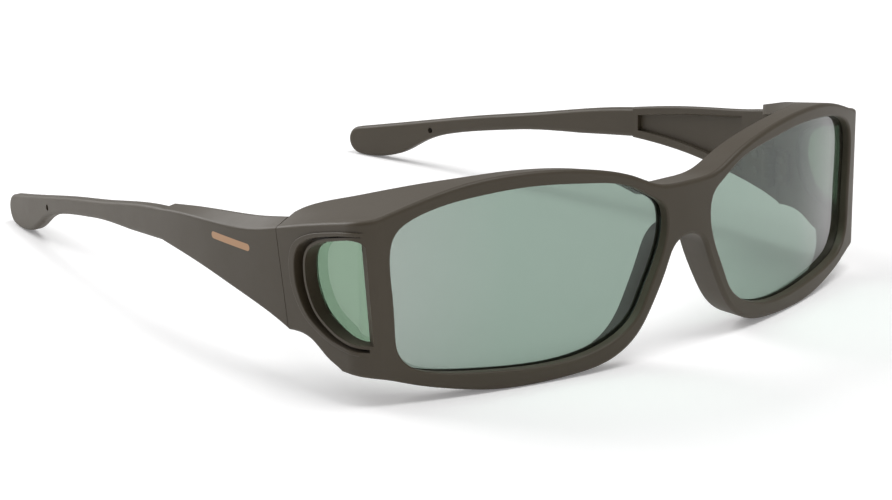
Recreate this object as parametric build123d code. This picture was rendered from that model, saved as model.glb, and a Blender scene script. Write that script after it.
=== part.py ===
from build123d import *
import os
from math import cos, radians, sin

# Fitover sunglasses, millimetres, +Z up. The front faces -Y, the temples run back to +Y.
# All pieces are drawn on the wearer's left, +X, with the bridge surface at Y 0, and mirrored.

# Plan line of the outer surface, from the bridge out to the seam and along the temple
brow_radius = 89.5
brow_turn = 5.3
cheek_radius = 202.0
cheek_turn = 17.85
corner_radius = 6.5
corner_turn = 63.35
side_length = 19.7
arm_radius = 241.0
arm_turn = 11.2
tip_radius = 1588.0
tip_turn = 3.6

# Front frame
frame_height = 44.2
wall = 4.2
roof_wall = 2.4
rim_wall = 2.2
side_bottom_height = 11.2
edge_round = 0.8
roof_depth = 34.3
relief_height = 22.0
lip_round = 0.5
seam_lean = 8.4

# Front lenses
lens_width = 60.3
lens_height = 37.5
lens_start = 6.4
lens_lift = 3.6
lens_recess = 2.0
lens_thickness = 1.7
lens_bite = 0.8

# Side windows: a deep opening with a thin lip, a groove round the lip, and a raised bead
window_width = 17.9
window_height = 22.5
window_lift = 12.0
window_turn = 12.0
window_lean = 3.1
window_lip = 0.6
side_lens_recess = 2.9
side_lens_thickness = 1.1
side_lens_bite = 0.6
groove_width = 2.3
groove_rise = 0.7
groove_top_rise = 0.2
groove_depth = 2.2
groove_end = 0.8
bead_width = 1.7
bead_rise = 0.75
bead_height = 0.5
bead_round = 0.2
bead_end_turn = 4.0

# Temples
seam_gap = 0.15
arm_thickness = 4.2
parting_top_height = 26.4
parting_bottom_height = 19.1
pocket_depth = 1.2
pocket_rim = 2.2
pocket_start = 11.0
arm_round = 0.7
tip_thickness = 3.4
tip_round = 1.0
cord_hole_radius = 0.8
cord_hole_height = 10.6
cord_hole_back = 70.0

# Wire core inside each tip
core_thickness = 1.2
core_width = 2.4

# Hinges
knuckles = 5
knuckle_radius = 1.6
knuckle_height = 1.7
knuckle_play = 0.06
knuckle_gap = 0.2
hinge_bottom = 15.8
leaf_thickness = 1.0
leaf_start = 1.9
front_leaf_length = 5.2
temple_leaf_length = 8.6
leaf_corner = 0.8
screw_radius = 0.7
screw_head_radius = 1.25
screw_head_height = 0.7
screw_overhang = 0.4
slot_width = 0.4
rivet_radius = 0.6
rivet_head_radius = 1.0
rivet_head_height = 0.35
rivet_length = 2.2
rivet_rise = 2.1

# Play between pieces, and overrun of cuts, also in degrees past the tip's end
play = 0.05
overrun = 20.0
past_tip = 1.0

# Outlines, as shares of the sizes that they follow. The roof's rows give the share across,
# the height at the bridge and the height at the seam. The arm's rows give the share along,
# and its outer and its inner top edge as shares of the rise from the parting to the seam.
seam_top_share = 0.733
roof_shares = (
    (0.0, 0.833, 0.699), (0.11, 0.846, 0.713), (0.19, 0.903, 0.769), (0.285, 0.957, 0.823),
    (0.445, 1.007, 0.873), (0.6, 1.022, 0.889), (0.69, 1.014, 0.88), (0.81, 0.975, 0.842),
    (0.88, 0.941, 0.808), (0.92, 0.922, 0.791), (0.945, 0.924, 0.775), (0.97, 0.941, 0.756),
    (1.0, 0.959, seam_top_share), (1.05, 0.986, 0.692),
)
nose_shares = ((0.0, 0.568), (0.051, 0.535), (0.077, 0.455), (0.129, 0.276), (0.187, 0.135), (0.265, 0.05))
rim_shares = (
    (0.39, 0.04), (0.53, 0.0), (0.6, 0.012), (0.667, 0.06), (0.742, 0.154), (0.839, 0.312),
    (0.91, 0.462), (0.95, 0.522), (1.0, 0.567), (1.05, 0.6),
)
side_bottom_shares = (
    (0.0, -2.0), (0.5, 0.3), (0.585, 0.565), (0.64, 0.64), (0.7, 0.74), (0.786, 0.93),
    (0.862, 1.005), (0.954, 0.999), (1.15, 0.985),
)
roof_back_shares = (
    (0.0, 0.24), (0.27, 0.25), (0.45, 0.3), (0.56, 0.37), (0.65, 0.468), (0.703, 0.589),
    (0.785, 0.828), (0.836, 1.02), (0.875, 1.17), (0.9, 1.215), (0.935, 1.25), (0.965, 1.4),
)
rim_back_shares = ((0.0, 0.24), (0.4, 0.27), (0.65, 0.39), (0.82, 0.59), (0.95, 0.84))
lens_shares = (
    (0.995, 0.52), (1.0, 0.7), (0.979, 0.834), (0.903, 0.918), (0.724, 0.983), (0.547, 1.0),
    (0.321, 0.971), (0.158, 0.916), (0.073, 0.843), (0.015, 0.773), (0.0, 0.683), (0.021, 0.504),
    (0.081, 0.296), (0.119, 0.185), (0.237, 0.057), (0.436, 0.0), (0.696, 0.02), (0.859, 0.053),
    (0.939, 0.1), (0.977, 0.175), (0.989, 0.3),
)
window_shares = (
    (-0.06, -0.002), (0.076, 0.0), (0.24, 0.01), (0.46, 0.044), (0.663, 0.117), (0.811, 0.2),
    (0.918, 0.322), (0.986, 0.47), (1.0, 0.587), (0.987, 0.689), (0.928, 0.782), (0.828, 0.847),
    (0.718, 0.89), (0.578, 0.926), (0.405, 0.959), (0.203, 0.992),
)
window_corner_shares = ((0.13, 0.99), (0.06, 0.97), (0.01, 0.92), (-0.06, 0.82))
groove_end_shares = ((0.08, 1.0), (-0.06, 1.005))
arm_top_shares = (
    (-0.13, 1.2, 1.43), (0.03, 0.925, 1.27), (0.19, 0.653, 1.117), (0.38, 0.477, 0.933),
    (0.59, 0.325, 0.675), (0.78, 0.172, 0.392), (1.0, -0.083, 0.05),
)
arm_bottom_shares = (
    (-0.13, -0.23), (-0.033, -0.011), (0.035, 0.134), (0.21, 0.409), (0.4, 0.628), (0.61, 0.825),
    (0.85, 0.957), (1.0, 1.0),
)
tip_top_shares = (
    (0.0, 1.0), (0.118, 0.936), (0.333, 0.777), (0.536, 0.634), (0.713, 0.496), (0.972, 0.293),
)
tip_bottom_shares = (
    (0.968, 0.008), (0.885, 0.026), (0.811, 0.135), (0.729, 0.366), (0.611, 0.575), (0.437, 0.75),
    (0.35, 0.822), (0.199, 0.897), (0.0, 1.0),
)
core_shares = ((-0.11, 1.02), (-0.05, 1.01), (0.0, 1.0), (0.2, 0.884), (0.4, 0.751), (0.56, 0.62))


def wall_line(inset, extra=0):
    """Plan line of the front at a depth below the outer surface, from the bridge to the seam."""
    brow = JernArc((0, inset), (1, 0), brow_radius - inset, brow_turn)
    cheek = JernArc(brow @ 1, brow % 1, cheek_radius - inset, cheek_turn)
    corner = JernArc(cheek @ 1, cheek % 1, corner_radius - inset, corner_turn)
    side = Line(corner @ 1, corner @ 1 + (corner % 1) * (side_length + extra))
    return [brow, cheek, corner, side]


def temple_line(inset, past=0):
    """Plan lines of the arm and of the tip at a depth, turned on past the tip's end by an angle."""
    side = wall_line(inset)[-1]
    arm = JernArc(side @ 1, side % 1, arm_radius - inset, arm_turn)
    tip = JernArc(arm @ 1, arm % 1, tip_radius - inset, tip_turn + past)
    return arm, tip


def both(edges):
    """Edges of the left half with their mirror images."""
    return [*edges, *[edge.mirror(Plane.YZ) for edge in edges]]


def band(outer, inner):
    """Plan face between two lines of edges, closed straight at both ends."""
    start = Line(outer[0] @ 0, inner[0] @ 0)
    end = Line(outer[-1] @ 1, inner[-1] @ 1)
    return make_face([*outer, end, *inner, start])


def column(face):
    """A plan face raised through the whole height of the frame."""
    return extrude(Pos(0, 0, -overrun) * face, frame_height + 2 * overrun, dir=(0, 0, 1))


def wall_layer(outer, inner):
    """The layer of the left wall between two depths below the outer surface."""
    return column(band(wall_line(outer), wall_line(inner)))


def grown(points, distance, closed):
    """Each point moved square to the line between its neighbours, to the right of the way along."""
    moved = []
    for i, (u, v) in enumerate(points):
        before = points[i - 1] if closed or i else points[i]
        after = points[(i + 1) % len(points)] if closed or i + 1 < len(points) else points[i]
        along = Vector(after[0] - before[0], after[1] - before[1]).normalized()
        moved.append((u + along.Y * distance, v - along.X * distance))
    return moved


def sized(shares, width, height):
    """Points given as shares of a width and a height."""
    return [(u * width, v * height) for u, v in shares]


def both_sides(points):
    """An outline of the left half, from the middle out, continued onto the right half."""
    return [(-u, v) for u, v in reversed(points[1:])] + list(points)


seam_point = wall_line(0)[-1] @ 1
half_width = seam_point.X
seam_top = frame_height * seam_top_share
seam_height = (side_bottom_height + seam_top) / 2
long_cut = side_length * 4


def closed_over(line, level):
    """The upright face between an outline and a straight line at a level."""
    a = Line(line @ 1, Vector((line @ 1).X, (line @ 1).Y, level))
    b = Line(a @ 1, Vector((line @ 0).X, (line @ 0).Y, level))
    return make_face([line, a, b, Line(b @ 1, line @ 0)])


def roof_face(y, drop):
    """The upright face below the roof's line, at a place between the bridge and the seam."""
    share = y / seam_point.Y
    heights = [(u, front + (back - front) * share) for u, front, back in roof_shares]
    points = both_sides(sized(heights, half_width, frame_height))
    return closed_over(Spline(*[(x, y, z - drop) for x, z in points]), -overrun)


def below_roof(drop):
    """All that lies below the roof, which falls towards the back, and more so at its sides."""
    return loft([roof_face(-overrun, drop), roof_face(seam_point.Y + overrun, drop)], ruled=True)


def above_rim(lift):
    """All that lies above the rims' lower edge and the nose arch."""
    nose = sized(nose_shares, half_width, frame_height)
    rim = sized(rim_shares, half_width, side_bottom_height)
    points = grown(both_sides(nose + rim), -lift, False)
    edge = Spline(*[(x, 0, z) for x, z in points])
    return extrude(closed_over(edge, frame_height + overrun), long_cut, dir=(0, 1, 0), both=True)


def above_side_bottom():
    """All that lies above the lower edge of the side shields, which rises towards the temples."""
    edge = Spline(*[(0, y, z) for y, z in sized(side_bottom_shares, seam_point.Y, side_bottom_height)])
    face = closed_over(edge, frame_height + overrun)
    front = Pos(0, -overrun / 2, frame_height / 2) * Box(long_cut * 2, overrun, long_cut)
    return extrude(face, long_cut, dir=(1, 0, 0), both=True) + front


def behind_seam(shift):
    """All that lies behind the leaning seam plane, from a shift behind it."""
    lean = radians(seam_lean)
    way = Vector(0, cos(lean), -sin(lean))
    origin = Vector(0, seam_point.Y, seam_height) + way * shift
    seam = Plane(origin, x_dir=(1, 0, 0), z_dir=way)
    return extrude(seam * Rectangle(long_cut * 2, long_cut), long_cut * 2)


def past_bar(shift):
    """All that lies past the leaning bar between a front lens and its side window, from a shift along."""
    turn = radians(brow_turn + cheek_turn)
    way = Vector(cos(turn), sin(turn))
    origin = on_corner(0)[0] + Vector(0, 0, window_lift) + way * shift
    end = Plane(origin, x_dir=way.cross(Vector(0, 0, 1)), z_dir=way) * Rot(-window_lean, 0, 0)
    return extrude(end * Rectangle(long_cut * 2, long_cut * 2), long_cut)


def on_corner(turn):
    """The point of the outer corner at a turn past the side window's edge, and the way out of it."""
    heading = radians(brow_turn + cheek_turn + window_turn + turn)
    out = Vector(sin(heading), -cos(heading))
    return Vector(wall_line(0)[2].arc_center) + out * corner_radius, out


def plan_behind(points, start_line):
    """Plan face between the wall line, both sides, and a spline across the back."""
    back = Spline(*both_sides(points))
    ends = both([Line(start_line[-1] @ 1, back @ 1)])
    return make_face([*both(start_line), *ends, back])


def on_outer_wall(edge):
    """Whether an edge lies along the outer surface of the front, other than straight up it."""
    middle = edge @ 0.5
    flat = Vector(abs(middle.X), middle.Y, 0)
    upright = abs((edge % 0.5).Z) > cos(radians(2 * seam_lean))
    return not upright and Wire(wall_line(0)).distance_to(flat) < play


def front_shell():
    """The outer form of the front: rims, roof and side shields, with its outer edges rounded."""
    points = sized(roof_back_shares, half_width, roof_depth)
    shell = column(plan_behind(points, wall_line(0, overrun)))
    shell = shell & below_roof(0) & above_rim(0) & above_side_bottom()
    shell -= behind_seam(0)
    return fillet([edge for edge in shell.edges() if on_outer_wall(edge)], edge_round)


def front_hollow():
    """The space for the glasses worn below, and the relief behind the rims' lower edge."""
    inner = wall_line(wall, overrun)
    closing = Line(inner[-1] @ 1, Vector(-(inner[-1] @ 1).X, (inner[-1] @ 1).Y))
    room = column(make_face([*both(inner), closing]))
    back = Spline(*both_sides(sized(rim_back_shares, half_width, roof_depth)))
    behind = extrude(closed_behind(back), relief_height + overrun, dir=(0, 0, 1))
    relief = room & (Pos(0, 0, -overrun) * behind)
    return [room & below_roof(roof_wall) & above_rim(rim_wall), relief]


def closed_behind(line):
    """The plan face between a line across the back and a straight line far behind it."""
    far = seam_point.Y + overrun
    a = Line(line @ 1, Vector((line @ 1).X, far))
    b = Line(a @ 1, Vector((line @ 0).X, far))
    return make_face([line, a, b, Line(b @ 1, line @ 0)])


def lens_prism(growth):
    """The left lens outline, moved outwards all round, cut through the front along Y."""
    outline = [(lens_start + u, lens_lift + v) for u, v in sized(lens_shares, lens_width, lens_height)]
    edge = Spline(*[(x, -overrun, z) for x, z in grown(outline, growth, True)], periodic=True)
    depth = (wall_line(0)[2] @ 1).Y
    return extrude(make_face([edge]), overrun + depth, dir=(0, 1, 0))


def window_prism(growth):
    """The side window's opening carried sideways, moved outwards all round."""
    return window_form(window_shares + window_corner_shares, (0, 0, 0), growth)


def groove_prism(back, fall, rise):
    """The side window's outline, open at the bar, larger at its back, its bottom and its top."""
    return window_form(window_shares + groove_end_shares, (back, fall, rise), 0)


def window_form(shares, larger, growth):
    """An outline of the side window carried sideways, drawn from the corner's window edge."""
    start = on_corner(0)[0].Y
    back, fall, rise = larger
    points = sized(shares, window_width + back, window_height + fall + rise)
    outline = grown([(start + u, window_lift - fall + v) for u, v in points], growth, False)
    edge = Spline(*[(0, y, z) for y, z in outline])
    return across(make_face([edge, Line(edge @ 1, edge @ 0)]))


def window_groove():
    """The groove round the side window's lip, wide at the back and narrow above and below."""
    ring = groove_prism(groove_width, groove_rise, groove_top_rise) - groove_prism(0, 0, 0)
    return ring & wall_layer(-2 * bead_height, groove_depth) & past_bar(groove_end)


def window_bead():
    """The raised bead round the groove, which sinks into the surface at the bar."""
    back, fall, rise = groove_width + bead_width, groove_rise + bead_rise, groove_top_rise + bead_rise
    ring = groove_prism(back, fall, rise) - groove_prism(groove_width, groove_rise, groove_top_rise)
    bead = ring & wall_layer(-bead_height, groove_depth) & past_bar(0)
    crest = Wire(wall_line(-bead_height))
    outer = [e for e in bead.edges() if crest.distance_to(Vector((e @ 0.5).X, (e @ 0.5).Y, 0)) < play]
    long_edges = [e for e in outer if e.length > bead_width]
    point, out = on_corner(bead_end_turn)
    skin = Plane(point - out * play, x_dir=(0, 0, 1), z_dir=out)
    return fillet(long_edges, bead_round) - extrude(skin * Rectangle(long_cut, long_cut), wall)


def rounded_lips(frame):
    """The frame with both lens openings cut and their front lips rounded."""
    opening = lens_prism(0)
    frame = frame - opening - opening.mirror(Plane.YZ)
    outer = Wire(both(wall_line(0)))
    lips = []
    for edge in frame.edges():
        middle = edge @ 0.5
        seen = Vector(abs(middle.X), middle.Y, middle.Z)
        if outer.distance_to(Vector(middle.X, middle.Y, 0)) < play and opening.distance_to(seen) < play:
            lips.append(edge)
    return fillet(lips, lip_round)


def front_frame():
    """The front: rims, bridge, roof and side shields in one moulding."""
    frame = rounded_lips(front_shell())
    for space in front_hollow():
        frame -= space
    bead = window_bead()
    cuts = [
        lens_layer(lens_bite, 0),
        window_groove(),
        window_prism(-window_lip) & wall_layer(-2 * bead_height, 2 * wall) & past_bar(0),
        side_lens_layer(side_lens_bite, 2 * wall),
        rivet_bores(front_rivet_seats()),
    ]
    for piece in (bead, bead.mirror(Plane.YZ)):
        frame += piece
    for cut in cuts:
        frame = frame - cut - cut.mirror(Plane.YZ)
    return frame


def lens_layer(growth, margin):
    """The space of the left lens between its two surfaces, drawn in by a margin."""
    layer = wall_layer(lens_recess + margin, lens_recess + lens_thickness - margin)
    return lens_prism(growth) & layer


def front_lens():
    """The left lens, sprung into the groove of its rim."""
    return lens_layer(lens_bite - play, play)


def side_lens_layer(growth, depth, margin=0):
    """The space behind a side window's opening, down to a depth, drawn in by a margin."""
    layer = wall_layer(side_lens_recess + margin, depth)
    return window_prism(growth - window_lip) & layer & past_bar(-growth)


def side_lens():
    """The left side lens, in the rebate on the inside of its window."""
    return side_lens_layer(side_lens_bite - play, side_lens_recess + side_lens_thickness, play)


hinge_height = knuckles * knuckle_height + (knuckles - 1) * knuckle_play


def hinge_plane():
    """The hinge axis: origin at the bottom of the knuckles, X into the head side, Y forwards."""
    inner = wall_line(wall)[-1]
    way = inner % 1
    inward = Vector(-way.Y, way.X, 0)
    origin = inner @ 1 + inward * (knuckle_radius + knuckle_gap) + Vector(0, 0, hinge_bottom)
    return Plane(origin, x_dir=inward, z_dir=(0, 0, 1))


def upright(radius, length, align=Align.MIN):
    """A cylinder along Z, from its base or centred."""
    return Cylinder(radius, length, align=(Align.CENTER, Align.CENTER, align))


def rivet_seats(line, along):
    """Planes on a wall's inner face under the two rivets, at a length along it, Z to the head side."""
    share = along / line.length
    point, way = line @ share, line % share
    middle = hinge_bottom + hinge_height / 2
    inward = Vector(-way.Y, way.X, 0)
    return [Plane(point + Vector(0, 0, middle + rise), z_dir=inward) for rise in (-rivet_rise, rivet_rise)]


def front_rivet_seats():
    """The seats of the front leaf's rivets, at the middle of its plate."""
    side = wall_line(wall)[-1]
    return rivet_seats(side, side.length - (leaf_start + front_leaf_length) / 2)


def temple_rivet_seats():
    """The seats of the temple leaf's rivets, at the middle of its plate."""
    return rivet_seats(temple_line(arm_thickness)[0], (leaf_start + temple_leaf_length) / 2)


def rivet_bores(seats):
    """The holes for the rivets, through the leaf and into the wall below it."""
    depth = rivet_length + play
    bore = Pos(0, 0, -depth) * upright(rivet_radius + play, depth + 2 * leaf_thickness)
    return Part() + [seat * bore for seat in seats]


def rivets(seats):
    """Two rivets, each with its shank through the leaf and its rounded head on it."""
    made = []
    for seat in seats:
        head = Pos(0, 0, leaf_thickness) * upright(rivet_head_radius, rivet_head_height)
        head = fillet(head.edges().group_by(Axis.Z)[-1], rivet_head_height / 2)
        shank = Pos(0, 0, -rivet_length) * upright(rivet_radius, rivet_length + leaf_thickness)
        made.append(seat * (head + shank))
    return Part() + made


def hinge_leaf(layer, ahead, length, levels, seats):
    """One leaf: its plate against the wall, its fingers, and its knuckles round the screw."""
    outline = Plane.YZ * Rectangle(length - leaf_start, hinge_height)
    far = outline.vertices().group_by(Axis.Y)[-1]
    profile = extrude(fillet(far, leaf_corner), overrun, both=True)
    if ahead < 0:
        profile = Rot(0, 0, 180) * profile
    reach = Pos(0, ahead * (leaf_start + length) / 2, hinge_height / 2) * profile
    plane = hinge_plane()
    leaf = layer & (plane * reach)
    size = leaf_start + leaf_thickness
    finger = Pos(leaf_thickness / 2 - knuckle_radius, ahead * size / 2, knuckle_height / 2)
    finger = finger * Box(leaf_thickness, size, knuckle_height)
    for i in levels:
        level = i * (knuckle_height + knuckle_play)
        leaf += plane * Pos(0, 0, level) * (upright(knuckle_radius, knuckle_height) + finger)
    leaf -= plane * upright(screw_radius + play, overrun, Align.CENTER)
    leaf -= plane * Pos(0, 0, hinge_height) * upright(screw_radius + play, overrun, Align.CENTER)
    return leaf - rivet_bores(seats)


def front_leaf():
    """The leaf on the side shield, with the lowest, the middle and the highest knuckle."""
    layer = column(band([wall_line(wall)[-1]], [wall_line(wall + leaf_thickness)[-1]]))
    return hinge_leaf(layer, 1, front_leaf_length, range(0, knuckles, 2), front_rivet_seats())


def temple_leaf():
    """The leaf on the temple arm, with the knuckles in between."""
    layer = column(band([temple_line(arm_thickness)[0]], [temple_line(arm_thickness + leaf_thickness)[0]]))
    return hinge_leaf(layer, -1, temple_leaf_length, range(1, knuckles, 2), temple_rivet_seats())


def hinge_screw():
    """The screw that is the hinge's axis, with a slotted head on the top knuckle."""
    shank = Pos(0, 0, -screw_overhang) * upright(screw_radius, hinge_height + screw_overhang)
    head = upright(screw_head_radius, screw_head_height)
    head = fillet(head.edges().group_by(Axis.Z)[-1], slot_width / 2)
    head -= Pos(0, 0, screw_head_height) * Box(slot_width, 2 * overrun, screw_head_height)
    return hinge_plane() * (shank + Pos(0, 0, hinge_height) * head)


arm_end = temple_line(0)[0] @ 1
arm_reach = arm_end.Y - seam_point.Y
tip_reach = (temple_line(0)[1] @ 1).Y - arm_end.Y


def across(face):
    """An upright face in the YZ plane carried sideways through everything."""
    return extrude(face, long_cut * 2, dir=(1, 0, 0), both=True)


def side_points(shares, height, rise=0):
    """Points in the YZ plane beside the tip, from shares of its length and of a height."""
    return [(0, arm_end.Y + u * tip_reach, v * height + rise) for u, v in shares]


def between(top, bottom):
    """The upright face between two lines in the YZ plane."""
    return make_face([top, bottom, Line(top @ 0, bottom @ 0), Line(top @ 1, bottom @ 1)])


def arm_face(x, margin):
    """The arm's upright section at a place across it, drawn in at the top and the bottom."""
    share = (half_width - x) / arm_thickness
    rise = seam_top - parting_top_height
    fall = parting_bottom_height - side_bottom_height
    heights = [(u, outer + (inner - outer) * share) for u, outer, inner in arm_top_shares]
    top = [(x, seam_point.Y + u * arm_reach, parting_top_height + v * rise - margin) for u, v in heights]
    low = [(seam_point.Y + u * arm_reach, side_bottom_height + v * fall) for u, v in arm_bottom_shares]
    bottom = [(x, y, z + margin) for y, z in low]
    return between(Spline(*top), Spline(*bottom))


def arm_side(margin):
    """The arm's side view carried sideways, with its top sloping down to its outer face."""
    faces = [arm_face(half_width + side * arm_thickness, margin) for side in (-3, 1)]
    return loft(faces, ruled=True)


def arm_layer(outer, inner):
    """The layer of the left arm between two depths, begun well ahead of the seam."""
    lines = [[wall_line(depth)[-1], temple_line(depth)[0]] for depth in (outer, inner)]
    return column(band(*lines))


def arm_pocket():
    """The shallow pocket in the arm's inner face."""
    start = seam_point.Y + pocket_start
    end = arm_end.Y - pocket_rim
    window = Pos(0, (start + end) / 2, frame_height / 2) * Box(long_cut * 4, end - start, long_cut)
    return arm_layer(arm_thickness - pocket_depth, 2 * arm_thickness) & arm_side(pocket_rim) & window


def core_side(margin):
    """The wire core's side view, grown by a margin all round."""
    rise = core_width / 2 + margin
    middle = (parting_top_height + parting_bottom_height) / 2
    top = Spline(*side_points(core_shares, middle, rise))
    bottom = Spline(*side_points(core_shares, middle, -rise))
    return across(between(top, bottom))


def tip_core(margin=0):
    """The flat wire that stiffens the tip and joins it to the arm, or the slot for it."""
    outer = (tip_thickness - core_thickness) / 2 - margin
    inner = outer + core_thickness + 2 * margin
    lines = [temple_line(depth) for depth in (outer, inner)]
    return column(band(*lines)) & core_side(margin)


def temple_arm():
    """The arm: a bowed bar behind the seam, with its pocket, rivet holes and the core's slot."""
    arm = arm_layer(0, arm_thickness) & arm_side(0) & behind_seam(seam_gap)
    long_edges = [e for e in arm.edges() if e.length > arm_reach / 2]
    arm = fillet(long_edges, arm_round)
    return arm - arm_pocket() - rivet_bores(temple_rivet_seats()) - tip_core(play)


def cord_hole_plane():
    """The middle of the cord hole, Z square to the tip's outer face."""
    lines = temple_line(tip_thickness / 2)
    share = cord_hole_back / lines[1].length
    way = lines[1] % share
    return Plane(lines[1] @ share + Vector(0, 0, cord_hole_height), z_dir=(way.Y, -way.X, 0))


def temple_tip():
    """The tip: a thin blade that drops to its rounded end, with the core's slot and a cord hole."""
    points = side_points(tip_bottom_shares, parting_bottom_height)
    top = Spline(*side_points(tip_top_shares, parting_top_height))
    end = TangentArc(top @ 1, points[0], tangent=top % 1)
    bottom = Spline(*points, tangents=[end % 1, Vector(points[-1]) - Vector(points[-2])])
    side = across(make_face([top, end, bottom, Line(bottom @ 1, top @ 0)]))
    tip = column(band([temple_line(0, past_tip)[1]], [temple_line(tip_thickness, past_tip)[1]])) & side
    long_edges = [e for e in tip.edges() if e.length > 2 * tip_thickness and (e @ 0.5).Y > arm_end.Y + play]
    tip = fillet(long_edges, tip_round)
    hole = cord_hole_plane() * upright(cord_hole_radius, overrun, Align.CENTER)
    return tip - tip_core(play) - hole


def build():
    """Every piece by name, on both sides, standing on the floor with the middle of the box at zero."""
    left = {
        "lens": front_lens(),
        "side_lens": side_lens(),
        "temple_arm": temple_arm(),
        "temple_tip": temple_tip(),
        "tip_core": tip_core(),
        "hinge_front_leaf": front_leaf(),
        "hinge_temple_leaf": temple_leaf(),
        "hinge_screw": hinge_screw(),
        "front_leaf_rivets": rivets(front_rivet_seats()),
        "temple_leaf_rivets": rivets(temple_rivet_seats()),
    }
    pieces = {"front_frame": front_frame()}
    for name, piece in left.items():
        pieces["left_" + name] = piece
        pieces["right_" + name] = piece.mirror(Plane.YZ)
    boxes = [piece.bounding_box() for piece in pieces.values()]
    front = min(box.min.Y for box in boxes)
    back = max(box.max.Y for box in boxes)
    stand = Pos(0, -(front + back) / 2, -min(box.min.Z for box in boxes))
    print("moved", stand.position)
    print("left hinge axis", (stand * hinge_plane().location).position)
    print("left cord hole", stand * cord_hole_plane().location)
    return {name: stand * piece for name, piece in pieces.items()}


os.makedirs("parts", exist_ok=True)
for name, piece in build().items():
    export_step(piece, f"parts/{name}.step")
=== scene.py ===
from math import cos, radians, sin

import bpy
from mathutils import Matrix, Vector


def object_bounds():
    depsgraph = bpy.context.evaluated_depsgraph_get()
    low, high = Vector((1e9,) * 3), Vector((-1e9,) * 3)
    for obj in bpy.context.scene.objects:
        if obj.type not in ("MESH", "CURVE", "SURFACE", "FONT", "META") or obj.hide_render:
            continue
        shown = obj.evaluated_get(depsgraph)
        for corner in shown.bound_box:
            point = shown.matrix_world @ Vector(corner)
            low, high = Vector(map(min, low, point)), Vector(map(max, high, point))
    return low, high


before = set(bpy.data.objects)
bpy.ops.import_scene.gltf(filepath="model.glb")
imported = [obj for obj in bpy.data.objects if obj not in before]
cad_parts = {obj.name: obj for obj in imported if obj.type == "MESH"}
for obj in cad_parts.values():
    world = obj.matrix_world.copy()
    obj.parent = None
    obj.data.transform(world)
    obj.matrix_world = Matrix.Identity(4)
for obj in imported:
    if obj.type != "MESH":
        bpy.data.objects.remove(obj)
cad_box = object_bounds()


# Front frame, temple arms and temple tips
# Injection moulded nylon with a soft-touch lacquer: a brown that leans to olive, matt but
# with a dull sheen where it turns away, and a fine spark-eroded grain from the mould.
# Each arm carries a plain bar printed in copper on its outer face.
class Socket:
    """One output of a shader node. Sums on it add Math nodes, and node() adds a node of any kind."""

    def __init__(self, tree, output=None):
        self.tree = tree
        self.output = output

    def node(self, kind, settings=None, output=0, **sockets):
        made = self.tree.nodes.new("ShaderNode" + kind)
        for name, value in (settings or {}).items():
            setattr(made, name, value)
        for name, value in sockets.items():
            name = int(name[1:]) if name[0] == "_" else name.replace("_", " ")
            if isinstance(value, Socket):
                self.tree.links.new(value.output, made.inputs[name])
            else:
                made.inputs[name].default_value = value
        return Socket(self.tree, made.outputs[output] if made.outputs else None)

    def maths(self, operation, other=0.0):
        return self.node("Math", {"operation": operation}, _0=self, _1=other)

    def __add__(self, other):
        return self.maths("ADD", other)

    def __sub__(self, other):
        return self.maths("SUBTRACT", other)

    def __mul__(self, other):
        return self.maths("MULTIPLY", other)

    __radd__ = __add__

    def blend(self, first, second):
        return self.node("Mix", {"data_type": "RGBA"}, output=2, _0=self, _6=first, _7=second)

    def ramp(self, start, end, first, last):
        return self.node("MapRange", _0=self, _1=start, _2=end, _3=first, _4=last)


def new_finish(name):
    """An empty node material and the start of its maths."""
    material = bpy.data.materials.new(name)
    material.use_nodes = True
    material.node_tree.nodes.clear()
    return material, Socket(material.node_tree)


def worn(material, *nodes):
    """The material on every slot of the named pieces."""
    for node in nodes:
        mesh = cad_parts[node].data
        mesh.materials.clear()
        mesh.materials.append(material)


def plain_bar(place):
    """One inside the printed bar, level with rounded ends, and zero on the rest of the surface."""
    x, y, z = [place.node("SeparateXYZ", output=i, _0=place) for i in range(3)]
    outer_face = x.maths("ABSOLUTE").maths("GREATER_THAN", bar_inner_side)
    past_end = ((y - bar_middle).maths("ABSOLUTE") - bar_half_length).maths("MAXIMUM", 0.0)
    above = z - bar_height
    away = (past_end * past_end + above * above).maths("SQRT")
    return away.ramp(bar_half_width - bar_edge, bar_half_width + bar_edge, 1.0, 0.0) * outer_face


bar_middle = -0.0348
bar_height = 0.0258
bar_half_length = 0.0062
bar_half_width = 0.00075
bar_edge = 0.00004
bar_inner_side = 0.072
bar_metal = 0.8
bar_gloss = 0.15
grain_size = 0.00016
grain_depth = 0.000012
bronze_dark = (0.045, 0.033, 0.0175, 1.0)
bronze_light = (0.058, 0.0435, 0.0245, 1.0)
copper = (0.42, 0.25, 0.145, 1.0)

soft_touch, shade = new_finish("soft_touch_bronze")
place = shade.node("TexCoord", output=3)
cloud = shade.node("TexNoise", _0=place, Scale=45.0, Detail=3.0, Roughness=0.55)
grain = shade.node("TexNoise", _0=place, Scale=1 / grain_size, Detail=2.0, Roughness=0.6)
rub = shade.node("TexNoise", _0=place, Scale=160.0, Detail=5.0, Roughness=0.6)
printed = plain_bar(place)
tone = printed.blend(cloud.blend(bronze_dark, bronze_light), copper)
bump = shade.node("Bump", Strength=0.35, Distance=grain_depth, Height=grain)
body = shade.node(
    "BsdfPrincipled", Base_Color=tone, Metallic=printed * bar_metal,
    Roughness=0.44 + rub * 0.12 - printed * bar_gloss, Normal=bump, IOR=1.5,
    Sheen_Weight=0.12, Sheen_Roughness=0.45, Sheen_Tint=(0.9, 0.85, 0.78, 1.0),
)
shade.node("OutputMaterial", Surface=body)

worn(soft_touch, "front_frame", "left_temple_arm", "right_temple_arm", "left_temple_tip", "right_temple_tip")


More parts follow.
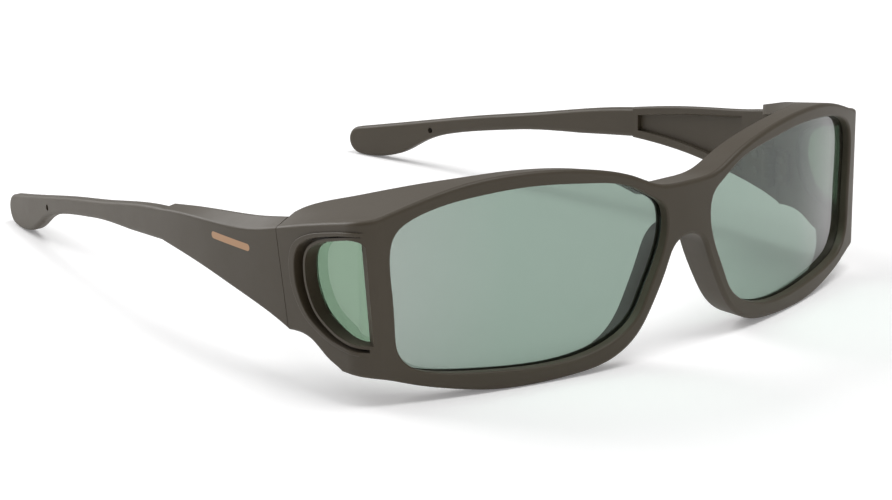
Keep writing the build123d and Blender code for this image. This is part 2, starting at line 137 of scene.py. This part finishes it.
# Front lenses and side lenses
# Polarised sheet, grey-green all through, polished on both faces. Lamps shine through it,
# so it only tints what lies behind. A hard coat mirrors the studio more towards the temples.
def tinted_lens(name, tint, through, most_mirror):
    """Glass of one tint for sight, and a clear film of another for light from the lamps."""
    material, shade = new_finish(name)
    place = shade.node("TexCoord", output=3)
    smear = shade.node("TexNoise", _0=place, Scale=70.0, Detail=4.0, Roughness=0.65)
    aside = shade.node("SeparateXYZ", _0=place).maths("ABSOLUTE")
    mirror = aside.ramp(mirror_start, mirror_end, least_mirror, most_mirror)
    glass = shade.node(
        "BsdfPrincipled", Base_Color=tint, Transmission_Weight=1.0, IOR=1.49,
        Roughness=0.004 + smear * 0.02, Coat_Weight=mirror, Coat_Roughness=0.02, Coat_IOR=1.7,
        Coat_Tint=(1.0, 0.96, 0.98, 1.0),
    )
    film = shade.node("BsdfTransparent", Color=through)
    lamp_ray = shade.node("LightPath", output=1)
    seen = shade.node("MixShader", _0=lamp_ray, _1=glass, _2=film)
    shade.node("OutputMaterial", Surface=seen)
    return material


mirror_start = 0.042
mirror_end = 0.068
least_mirror = 0.05
grey_green = (0.236, 0.315, 0.266, 1.0)
grey_green_shadow = (0.29, 0.37, 0.32, 1.0)
leaf_green = (0.178, 0.275, 0.19, 1.0)
leaf_green_shadow = (0.24, 0.36, 0.27, 1.0)
front_tint = tinted_lens("front_lens_tint", grey_green, grey_green_shadow, most_mirror=1.0)
side_tint = tinted_lens("side_lens_tint", leaf_green, leaf_green_shadow, most_mirror=0.1)
worn(front_tint, "left_lens", "right_lens")
worn(side_tint, "left_side_lens", "right_side_lens")


# Hinges, screws, rivets and the wire cores in the tips
# Stamped leaves with a brushed face, turned screws and rivets, all plated a dark bronze.
# The cores are bare drawn steel.
def brushed_metal(name, dull, bright, rough):
    """Metal with fine uneven brushing along its length."""
    material, shade = new_finish(name)
    place = shade.node("TexCoord", output=3)
    along = shade.node("Mapping", _0=place, Scale=(6000.0, 400.0, 6000.0))
    lines = shade.node("TexNoise", _0=along, Scale=1.0, Detail=3.0, Roughness=0.6)
    stain = shade.node("TexNoise", _0=place, Scale=900.0, Detail=3.0, Roughness=0.5)
    tone = stain.blend(dull, bright)
    bump = shade.node("Bump", Strength=0.25, Distance=0.00001, Height=lines)
    metal = shade.node(
        "BsdfPrincipled", Base_Color=tone, Metallic=1.0, Roughness=rough + lines * 0.15, Normal=bump,
    )
    shade.node("OutputMaterial", Surface=metal)
    return material


leaf_metal = brushed_metal("plated_leaf", (0.075, 0.062, 0.048, 1.0), (0.12, 0.10, 0.08, 1.0), rough=0.32)
screw_metal = brushed_metal("plated_screw", (0.10, 0.088, 0.072, 1.0), (0.17, 0.15, 0.13, 1.0), rough=0.24)
core_metal = brushed_metal("drawn_wire", (0.40, 0.39, 0.37, 1.0), (0.52, 0.51, 0.49, 1.0), rough=0.3)
for side in ("left_", "right_"):
    worn(leaf_metal, side + "hinge_front_leaf", side + "hinge_temple_leaf")
    worn(screw_metal, side + "hinge_screw", side + "front_leaf_rivets", side + "temple_leaf_rivets")
    worn(core_metal, side + "tip_core")


# Floor and backdrop
# A seamless white sweep. It reads as pure white to the camera and in the lenses, and still
# takes the soft shadow under the rims and the temples.
floor_size = 12.0
floor_drop = 0.0001
bpy.ops.object.select_all(action="DESELECT")
bpy.ops.mesh.primitive_plane_add(size=floor_size, location=(0.0, 0.0, cad_box[0][2] - floor_drop))
floor = bpy.context.object
floor.name = "floor"
paper, shade = new_finish("white_sweep")
paper_lit = shade.node("BsdfDiffuse", Color=(0.97, 0.97, 0.97, 1.0))
glow = shade.node("Emission", Color=(1.0, 0.985, 1.0, 1.0), Strength=0.17)
seen_rays = shade.node("LightPath", output=0) + shade.node("LightPath", output=6)
paper_seen = shade.node("AddShader", _0=paper_lit, _1=glow)
sweep = shade.node("MixShader", _0=seen_rays, _1=paper_lit, _2=paper_seen)
shade.node("OutputMaterial", Surface=sweep)
floor.data.materials.append(paper)

world = bpy.data.worlds.new("studio")
bpy.context.scene.world = world
world.use_nodes = True
world.node_tree.nodes.clear()
sky = Socket(world.node_tree)
seen_rays = sky.node("LightPath", output=0) + sky.node("LightPath", output=6)
sky_light = 0.37
sky_seen = 1.05
strength = sky_light + seen_rays * (sky_seen - sky_light)
sky.node("OutputWorld", Surface=sky.node("Background", Color=(1.0, 1.0, 1.0, 1.0), Strength=strength))


# Lamps
# The key is a softbox behind the temples, which models their outer faces and throws the shadow
# forwards. One overhead lights the brow shelf, and a weak one in front fills the rims.
def softbox(name, azimuth, height, distance, size, power):
    """A square area lamp aimed at the middle of the glasses."""
    heading, up = radians(azimuth), radians(height)
    way = Vector((sin(heading) * cos(up), -cos(heading) * cos(up), sin(up)))
    lamp = bpy.data.lights.new(name, "AREA")
    lamp.size = size
    lamp.energy = power
    holder = bpy.data.objects.new(name, lamp)
    bpy.context.collection.objects.link(holder)
    holder.location = way * distance
    holder.rotation_euler = way.to_track_quat("Z", "Y").to_euler()


softbox("back_key", azimuth=-163.0, height=35.0, distance=1.2, size=0.7, power=8.5)
softbox("overhead_box", azimuth=30.0, height=74.0, distance=1.3, size=0.6, power=7.0)
softbox("front_fill", azimuth=8.0, height=12.0, distance=1.4, size=0.8, power=1.2)


# Camera
# A long lens seen from the wearer's right front and a little above, as the photograph is.
view_azimuth = radians(-39.364)
view_height = radians(16.401)
view_roll = radians(-0.841)
view_distance = 0.53005
focal_pixels = 2255.43
frame_pixels = 892.0
sensor_width = 0.036
nearest_seen = 0.01
aimed_at = Vector((0.0, 0.07973, 0.00417))
drawn_to_row = Vector((0.0, -0.0933732, 0.0000007))
centre_right = 0.00009
centre_up = 0.00034

back = Vector((
    sin(view_azimuth) * cos(view_height), -cos(view_azimuth) * cos(view_height), sin(view_height),
))
right = Vector((0.0, 0.0, 1.0)).cross(back).normalized()
up = back.cross(right)
stand = aimed_at + drawn_to_row + back * view_distance
aim = aimed_at + drawn_to_row + right * centre_right + up * centre_up
out = (stand - aim).normalized()
level = Vector((0.0, 0.0, 1.0)).cross(out).normalized()
tall = out.cross(level)
turned = level * cos(view_roll) + tall * sin(view_roll)
upward = tall * cos(view_roll) - level * sin(view_roll)

optics = bpy.data.cameras.new("camera")
optics.sensor_width = sensor_width * 1000
optics.lens = focal_pixels / frame_pixels * sensor_width * 1000
optics.clip_start = nearest_seen
camera = bpy.data.objects.new("camera", optics)
bpy.context.collection.objects.link(camera)
camera.matrix_world = Matrix.Translation(stand) @ Matrix((turned, upward, out)).transposed().to_4x4()
bpy.context.scene.camera = camera
bpy.context.scene.view_settings.view_transform = "Standard"
